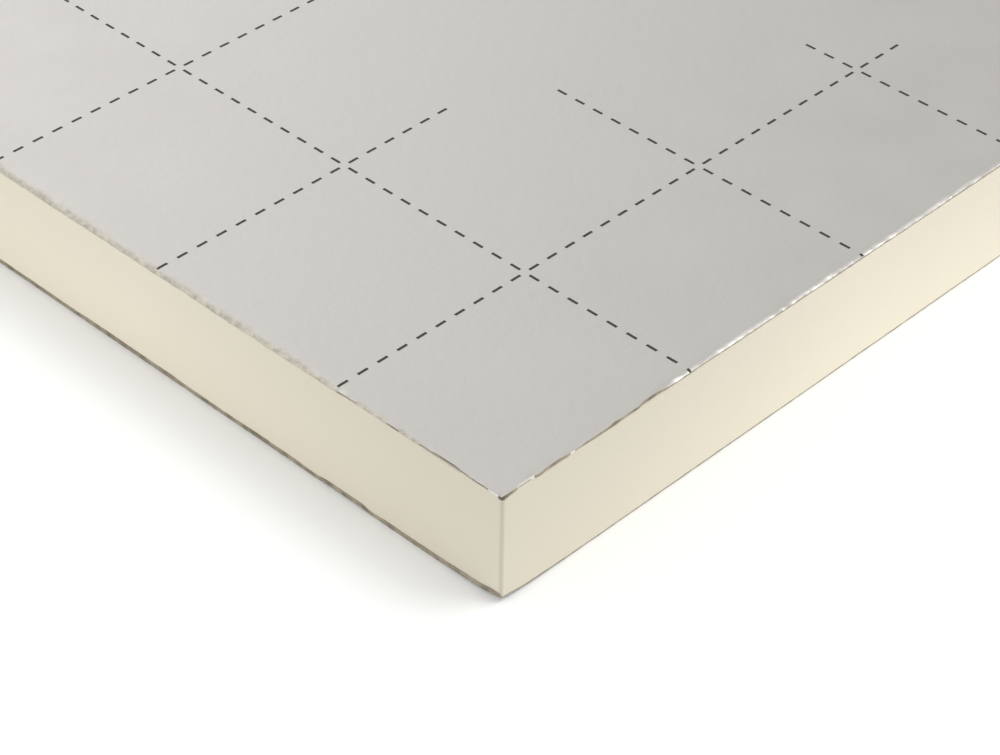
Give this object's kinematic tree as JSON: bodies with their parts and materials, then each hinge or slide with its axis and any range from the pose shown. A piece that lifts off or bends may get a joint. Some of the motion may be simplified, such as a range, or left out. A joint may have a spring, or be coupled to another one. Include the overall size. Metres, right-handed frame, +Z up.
{
  "type": "polyiso insulation board",
  "caption": "Flat rectangular rigid foam insulation board with foil facers bonded to both faces, rolled facer rims and square sawn edges that butt against the next board.",
  "frame": {"origin": "middle of the board's underside, which lies on the floor", "axes": "+X along the 2400 mm length, +Y across the 1200 mm width, +Z up through the 50 mm thickness, out of the printed face"},
  "size_m": [2.4, 1.2, 0.05],
  "materials": {
    "foam": "sawn closed-cell foam, matt and fine-grained",
    "foil_facer": "satin foil on kraft, faintly crinkled, brown at the cut rim",
    "grid_ink": "matt dark grey printing ink"
  },
  "bodies": {
    "root": {"foam_core": "foam", "top_facer": "foil_facer", "bottom_facer": "foil_facer"}
  },
  "joints": []
}
